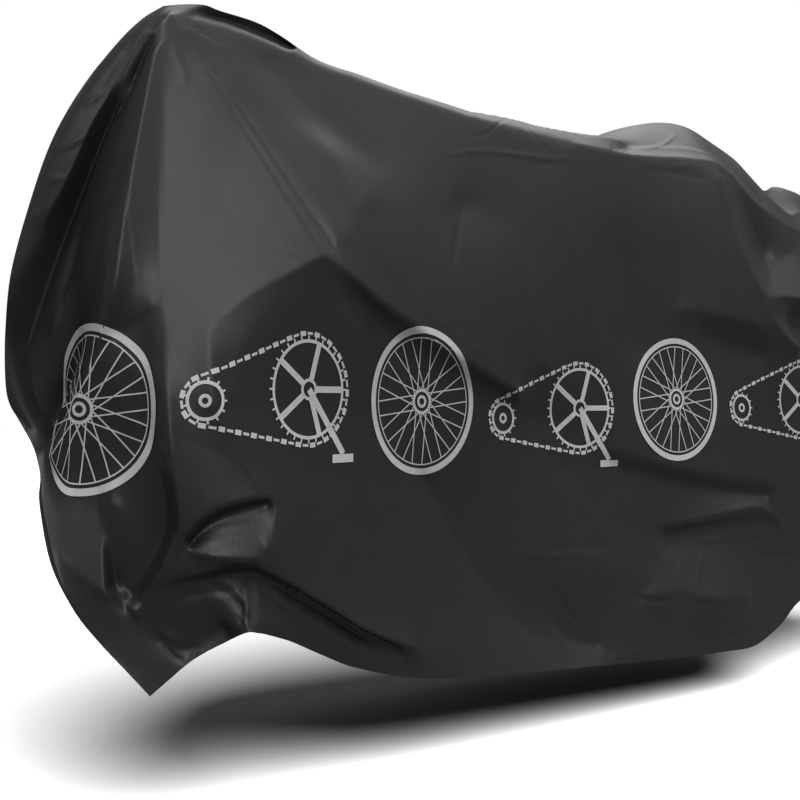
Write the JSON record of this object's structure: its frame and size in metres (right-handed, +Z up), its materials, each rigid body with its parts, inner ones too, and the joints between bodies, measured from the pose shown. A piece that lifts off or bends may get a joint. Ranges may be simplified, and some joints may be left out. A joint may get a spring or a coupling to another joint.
{
  "type": "bicycle cover",
  "caption": "Dark waterproof film cover for a bicycle, draped as it hangs over the handlebar and saddle, open below.",
  "frame": {"origin": "the point under the cover's top where the bicycle's saddle carries it", "axes": "+X along the bicycle towards its rear, -Y out of the printed near side, +Z up"},
  "size_m": [1.995, 0.4529, 0.9619],
  "materials": {
    "film": "satin film",
    "print": "silver grey ink"
  },
  "bodies": {
    "root": {"cover": "film"}
  },
  "joints": []
}
